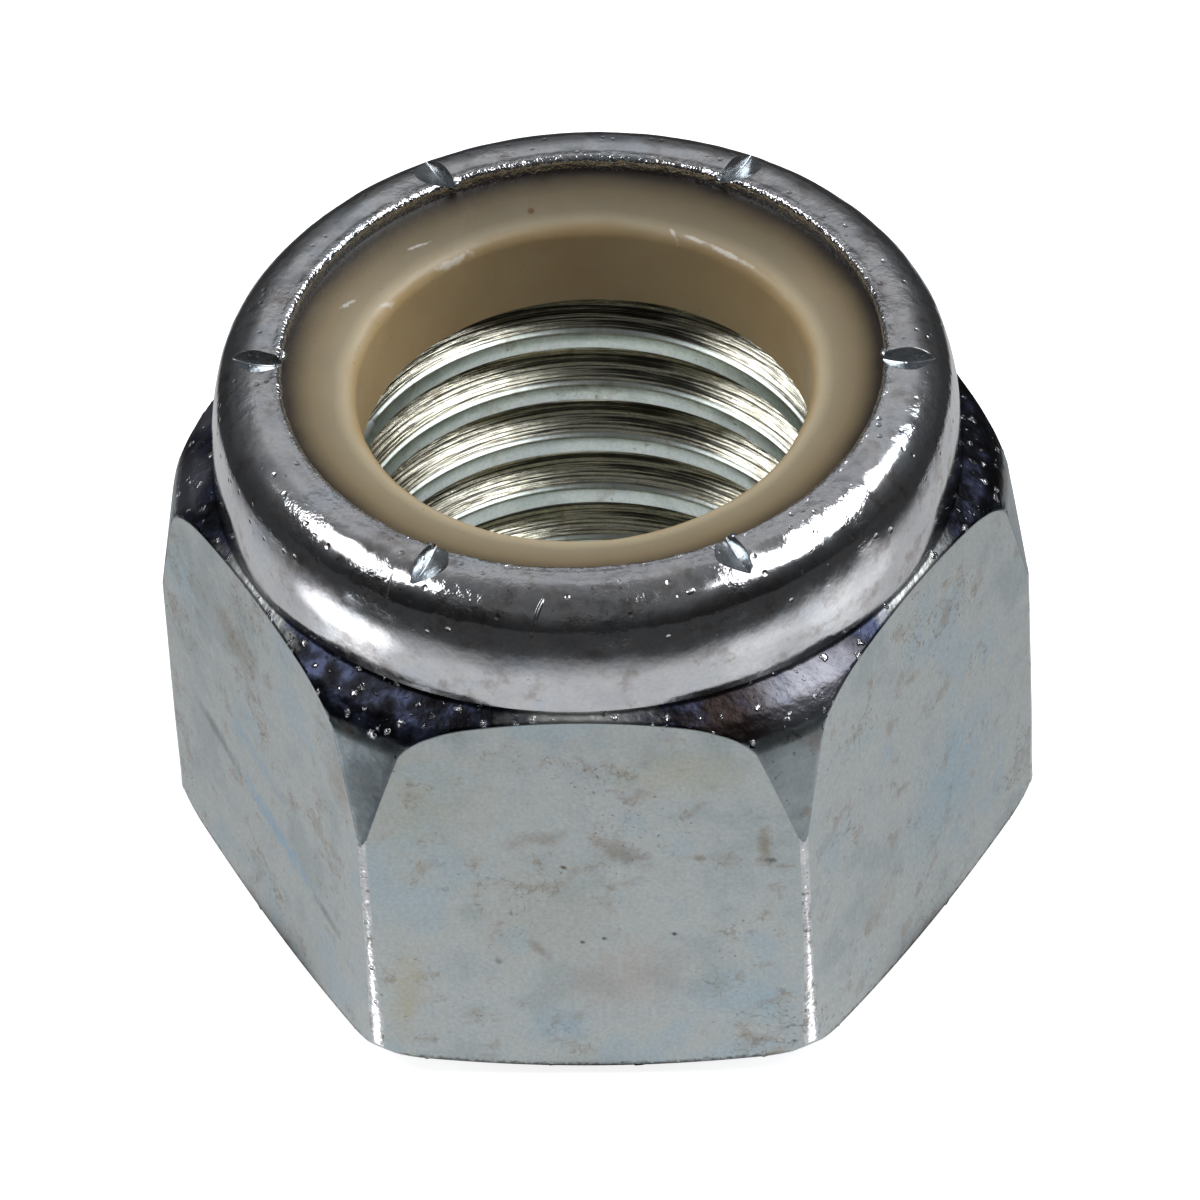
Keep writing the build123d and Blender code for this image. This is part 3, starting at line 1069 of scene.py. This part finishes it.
def addTapLines():
    tree = threadZinc.node_tree
    shader = tree.nodes["Principled BSDF"]
    under = feedsOf(shader)
    place = addNode(tree, "TexCoord").outputs["Object"]
    radius = fromAxis(tree, place)
    across = addNode(tree, "Math", {0: radius, 1: 1000 / tapLines["spacing"]}, operation="MULTIPLY")
    along = addNode(tree, "Mapping", {"Vector": place, "Scale": (160, 160, 500)})
    parts = addNode(tree, "SeparateXYZ", {0: along}).outputs
    line = addNode(tree, "Math", {0: across, 1: parts["Z"]}, operation="ADD")
    joined = addNode(tree, "CombineXYZ", {0: parts["X"], 1: parts["Y"], 2: line})
    lines = addNode(tree, "TexNoise", {"Vector": joined, "Scale": 1, "Detail": 3, "Roughness": 0.7})
    # Crests stay smooth
    crest = thread["crestRadius"]
    flank = addNode(tree, "MapRange", {
        "Value": radius, "From Min": (crest + tapLines["flankStart"]) * millimetre,
        "From Max": (crest + tapLines["flankFull"]) * millimetre}, **soft)
    relief = addRelief(tree, lines, flank, tapLines["height"], under["Normal"])
    darkest, lightest = tapLines["shades"]
    dark = addNode(tree, "MapRange", {
        "Value": lines, "From Min": 0.42, "From Max": 0.55, "To Min": darkest, "To Max": lightest})
    shade = addNode(tree, "Mix", {0: flank, 2: 1, 3: dark}, data_type="FLOAT")
    rough = addNode(tree, "Mix", {0: flank, 2: tapLines["crestRoughness"], 3: under["Roughness"]},
                    data_type="FLOAT")
    tone = addNode(tree, "Mix", {0: flank, 6: tapLines["crestTone"], 7: tapLines["flankTone"]},
                   data_type="RGBA")
    toned = addNode(tree, "VectorMath", {0: under["Base Color"], 1: tone}, operation="MULTIPLY")
    coloured = addNode(tree, "VectorMath", {0: toned, "Scale": shade}, operation="SCALE")
    feed(tree, shader, {"Base Color": coloured, "Roughness": rough, "Normal": relief})


addTapLines()

# Natural nylon, moulded: satin and slightly translucent, with painted shade that darkens it under the lip
# and a painted highlight that makes it palest on the rounded edge of its bore
nylonFinish = {
    "innerRadius": 7.8,
    "outerRadius": 10.8,
    "wander": 0.5,
    # Pale at the bore for a painted highlight on its rounded edge, dark towards the lip for painted shade
    # under it
    "tints": [(0.0, "C6A87A"), (0.09, "C0A97F"), (0.2, "B7AA8F"), (0.34, "968A71"), (0.58, "84765C"),
              (0.74, "62563F"), (0.86, "33291F"), (1.0, "15100C")],
    # Painted shade towards the back
    "backShade": 0.6,
    "cloudSize": 2.8,
    "cloudContrast": 0.08,
    "grainSize": 0.28,
    "grainHeight": 0.000012,
    "speckCell": 0.8,
    "speckTint": "6E5A38",
    "roughness": 0.42,
    "edgeRoughness": 0.38,
    "ior": 1.53,
    "scatter": 0.25,
    "scatterReach": (1.0, 0.7, 0.4),
    "scatterDepth": 0.0008,
    # One stain: place, radius and colour
    "stain": ((-2.15, 8.74, 21.33), 0.15, "5A3A18"),
    # Short painted glints on the ring's top near the bore: place, turn, half length and half width
    "paintedGlints": [((-8.48, 3.84, 21.38), 45, 0.45, 0.11), ((-7.1, 4.1, 21.1), 40, 0.5, 0.11),
               ((-4.9, 6.45, 21.0), 36, 1.1, 0.10), ((3.7, 7.4, 21.1), -28, 0.7, 0.08),
               ((4.9, 6.6, 21.1), -38, 1.2, 0.10), ((2.94, 7.73, 21.1), -60, 0.35, 0.09),
               ((-6.1, 6.9, 21.36), 30, 0.5, 0.08)],
    "glintTint": "F0F2F2",
}


def makeNylonFinish():
    nylon.use_nodes = True
    tree = nylon.node_tree
    place = placeInMillimetres(tree)
    radius = fromAxis(tree, place)
    clouds = addNode(tree, "TexNoise", {
        "Vector": place, "Scale": 1 / nylonFinish["cloudSize"], "Detail": 3})
    wander = nylonFinish["wander"]
    wandering = addNode(tree, "Math", {0: clouds, 1: wander, 2: radius}, operation="MULTIPLY_ADD")
    outward = addNode(tree, "MapRange", {
        "Value": wandering, "From Min": nylonFinish["innerRadius"] + wander / 2,
        "From Max": nylonFinish["outerRadius"] + wander / 2})
    # Painted highlight at the bore's edge and painted shade under the lip, by radius
    tint = addNode(tree, "ValToRGB", {"Fac": outward})
    fillRamp(tint, [(mark, hexToLinear(code)) for mark, code in nylonFinish["tints"]])
    grain = addNode(tree, "TexNoise", {"Vector": place, "Scale": 1 / nylonFinish["grainSize"], "Detail": 4})
    contrast = nylonFinish["cloudContrast"]
    shade = addNode(tree, "MapRange", {
        "Value": clouds, "To Min": 1 - contrast, "To Max": 1 + contrast, **noiseStretch})
    # Painted shade: the ring is darker towards the back, where the lip shades it
    side = addNode(tree, "SeparateXYZ", {0: place}).outputs["Y"]
    backShading = addNode(tree, "MapRange", {"Value": side, "From Min": 3, "From Max": 9, "To Min": 1,
                                         "To Max": nylonFinish["backShade"]}, **soft)
    darker = addNode(tree, "Math", {0: shade, 1: backShading}, operation="MULTIPLY")
    coloured = addNode(tree, "VectorMath", {0: tint, "Scale": darker}, operation="SCALE")
    cells = addNode(tree, "TexVoronoi", {"Vector": place, "Scale": 1 / nylonFinish["speckCell"]})
    speck = addNode(tree, "MapRange", {
        "Value": cells, "From Min": 0.07, "From Max": 0.03, "To Max": 0.5}, **soft)
    colour = addNode(tree, "Mix", {0: speck, 6: coloured, 7: nylonFinish["speckTint"]}, data_type="RGBA")
    centre, size, code = nylonFinish["stain"]
    colour = tintSpot(tree, colour, code, place, centre, (size, size, 1), (1.1, 0.5), strength=0.85)
    # Painted glints on the ring's top near the bore
    for centre, turn, halfLength, halfWidth in nylonFinish["paintedGlints"]:
        colour = tintSpot(tree, colour, nylonFinish["glintTint"], place, centre,
                          (halfLength, halfWidth, 0.6), (2.0, 1.2), strength=0.42, turn=turn,
                          wander=grain, raggedness=2.0)
    # The rounded edge of the bore is smoother
    edge = addNode(tree, "MapRange", {"Value": radius, "From Min": 9.0, "From Max": 8.5}, **soft)
    rough = addNode(tree, "MapRange", {"Value": edge, "To Min": nylonFinish["roughness"],
                                       "To Max": nylonFinish["edgeRoughness"]})
    relief = addNode(tree, "Bump", {"Distance": nylonFinish["grainHeight"], "Height": grain})
    feed(tree, tree.nodes["Principled BSDF"], {
        "Base Color": colour, "Roughness": rough, "Normal": relief, "IOR": nylonFinish["ior"],
        "Subsurface Weight": nylonFinish["scatter"], "Subsurface Radius": nylonFinish["scatterReach"],
        "Subsurface Scale": nylonFinish["scatterDepth"]})


makeNylonFinish()
print("finishes made")

studio = {
    "floorSize": 3.0,
    "floorLevel": -0.00002,
    "paperGlow": 0.8,
    "nearGlow": 0.6,
    "farGlow": 0.05,
    "brightRadius": 0.044,
    "softRadius": 0.009,
    # Painted patches of glow on the paper, seen only in the metal: x, y, turn, half length, half width and
    # strength
    "patches": [(-0.0339, -0.0176, 27, 0.0075, 0.0095, 1.5), (0.038, -0.0124, -18, 0.010, 0.011, 0.45),
                (-0.0114, -0.0155, 30, 0.0032, 0.0013, 1.6), (0.0114, -0.0155, -30, 0.0032, 0.0013, 1.6),
                (0.0270, -0.0280, 45, 0.0070, 0.0070, 0.3)],
    "sideGlow": 0.86,
    # Painted shadow on the mirrored paper where the nut stands
    "contactRadius": 0.0119,
    "contactWidth": 0.0020,
    "contactSoftness": 0.0004,
    # The room's brightness from eye level to overhead, by the sine of the elevation
    "room": [(0.0, 0.06), (0.34, 0.09), (0.55, 0.17), (0.7, 0.31), (0.8, 0.29), (0.87, 0.19), (1.0, 0.15)],
    "frontToBack": (0.36, 1.5),
    "middleToSides": (1.05, 0.6),
    "fill": 0.3,
    # Softboxes: azimuth, elevation, width and height
    "softboxes": {"leftSoftbox": (-88, 50, 0.24, 0.165), "rightSoftbox": (100, 55, 0.40, 0.225)},
    "aimHeight": 0.015,
    "lightDistance": 0.42,
    "lightRadiance": 4.0,
    "cameraPlace": (0.02162767, -0.29885796, 0.29470136),
    "cameraTurn": (46.46521, 2.39723, 1.83674),
    "lens": 346.87,
    "sensorWidth": 36,
    "clipStart": 0.01,
}


# Mirrored in the metal, the paper shows a painted glow: bright near the nut, brightest in painted patches
# below each lamp, and dark further off
def makeFloor():
    clearSelection()
    bpy.ops.mesh.primitive_plane_add(size=studio["floorSize"], location=(0, 0, studio["floorLevel"]))
    floor = bpy.context.object
    floor.name = "paleFloor"
    bpy.ops.object.transform_apply(location=True)
    paper = bpy.data.materials.new("whitePaper")
    paper.use_nodes = True
    tree = paper.node_tree
    tree.nodes.clear()
    place = addNode(tree, "TexCoord").outputs["Object"]
    distance = addNode(tree, "VectorMath", {0: place}, operation="LENGTH")
    edge = addNode(tree, "MapRange", {
        "Value": distance, "From Min": studio["brightRadius"] - studio["softRadius"],
        "From Max": studio["brightRadius"] + studio["softRadius"], "To Min": 1, "To Max": 0}, **soft)
    glow = addNode(tree, "Math", {0: edge, 1: studio["nearGlow"], 2: studio["farGlow"]},
                   operation="MULTIPLY_ADD")
    for x, y, turn, halfLength, halfWidth, strength in studio["patches"]:
        patch = addSpot(tree, place, (x, y, 0), (halfLength, halfWidth, 1), (1.3, 0.7),
                        strength=strength, turn=turn)
        glow = addNode(tree, "Math", {0: glow, 1: patch}, operation="ADD")
    # Painted shade: a little darker beside the nut than in front of it, and a painted shadow where the nut
    # stands
    depth = addNode(tree, "SeparateXYZ", {0: place}).outputs["Y"]
    side = addNode(tree, "MapRange", {"Value": depth, "From Min": -0.014, "From Max": -0.003, "To Min": 1,
                                      "To Max": studio["sideGlow"]}, **soft)
    fromFace = addNode(tree, "Math", {0: distance, 1: studio["contactRadius"]}, operation="SUBTRACT")
    offFace = addNode(tree, "Math", {0: fromFace}, operation="ABSOLUTE")
    contact = addNode(tree, "MapRange", {
        "Value": offFace, "From Min": studio["contactWidth"] - studio["contactSoftness"],
        "From Max": studio["contactWidth"] + studio["contactSoftness"]}, **soft)
    shade = addNode(tree, "Math", {0: side, 1: contact}, operation="MULTIPLY")
    glow = addNode(tree, "Math", {0: glow, 1: shade}, operation="MULTIPLY")
    path = addNode(tree, "LightPath").outputs
    paint = addNode(tree, "BsdfDiffuse", {"Color": (0.8, 0.8, 0.8, 1)})
    white = addNode(tree, "Emission", {"Strength": studio["paperGlow"]})
    seen = addNode(tree, "AddShader", {0: paint, 1: white})
    mirrored = addNode(tree, "Emission", {"Strength": glow})
    forCamera = addNode(tree, "MixShader", {"Fac": path["Is Camera Ray"], 1: paint, 2: seen})
    forMirror = addNode(tree, "MixShader", {"Fac": path["Is Glossy Ray"], 1: forCamera, 2: mirrored})
    addNode(tree, "OutputMaterial", {"Surface": forMirror})
    floor.data.materials.append(paper)


# Mirrored in the metal, the room is dark at eye level, palest half way up, and paler behind than in front
def makeWorld():
    world = bpy.data.worlds.new("studioRoom")
    bpy.context.scene.world = world
    world.use_nodes = True
    tree = world.node_tree
    tree.nodes.clear()
    direction = addNode(tree, "TexCoord").outputs["Generated"]
    split = addNode(tree, "SeparateXYZ", {0: direction}).outputs
    ramp = addNode(tree, "ValToRGB", {"Fac": split["Z"]})
    fillRamp(ramp, [(place, (level, level, level, 1)) for place, level in studio["room"]])
    front, back = studio["frontToBack"]
    behind = addNode(tree, "MapRange", {
        "Value": split["Y"], "From Min": -0.6, "From Max": 0.6, "To Min": front, "To Max": back})
    aside = addNode(tree, "Math", {0: split["X"]}, operation="ABSOLUTE")
    middle, outer = studio["middleToSides"]
    sides = addNode(tree, "MapRange", {
        "Value": aside, "From Min": 0.2, "From Max": 0.55, "To Min": middle, "To Max": outer}, **soft)
    strength = addNode(tree, "Math", {0: behind, 1: sides}, operation="MULTIPLY")
    path = addNode(tree, "LightPath").outputs
    room = addNode(tree, "Background", {"Color": ramp, "Strength": strength})
    fill = addNode(tree, "Background", {"Color": (1, 1, 1, 1), "Strength": studio["fill"]})
    white = addNode(tree, "Background", {"Color": (1, 1, 1, 1)})
    first = addNode(tree, "MixShader", {"Fac": path["Is Glossy Ray"], 1: fill, 2: room})
    second = addNode(tree, "MixShader", {"Fac": path["Is Camera Ray"], 1: first, 2: white})
    addNode(tree, "OutputWorld", {"Surface": second})


def makeSoftbox(name, azimuth, elevation, wide, high):
    clearSelection()
    turn, rise = math.radians(azimuth), math.radians(elevation)
    away = Vector((math.sin(turn) * math.cos(rise), -math.cos(turn) * math.cos(rise), math.sin(rise)))
    place = away * studio["lightDistance"] + Vector((0, 0, studio["aimHeight"]))
    bpy.ops.object.light_add(type="AREA", location=place, rotation=away.to_track_quat("Z", "Y").to_euler())
    box = bpy.context.object
    box.name = name
    box.data.shape = "RECTANGLE"
    box.data.size = wide
    box.data.size_y = high
    box.data.energy = studio["lightRadiance"] * math.pi * wide * high
    box.visible_camera = False


def makeCamera():
    clearSelection()
    turn = [math.radians(angle) for angle in studio["cameraTurn"]]
    bpy.ops.object.camera_add(location=studio["cameraPlace"], rotation=turn)
    camera = bpy.context.object
    camera.name = "studioCamera"
    camera.data.lens = studio["lens"]
    camera.data.sensor_width = studio["sensorWidth"]
    camera.data.clip_start = studio["clipStart"]
    bpy.context.scene.camera = camera


makeFloor()
makeWorld()
for name, settings in studio["softboxes"].items():
    makeSoftbox(name, *settings)
makeCamera()
bpy.context.scene.view_settings.view_transform = "Standard"
print("studio lit")
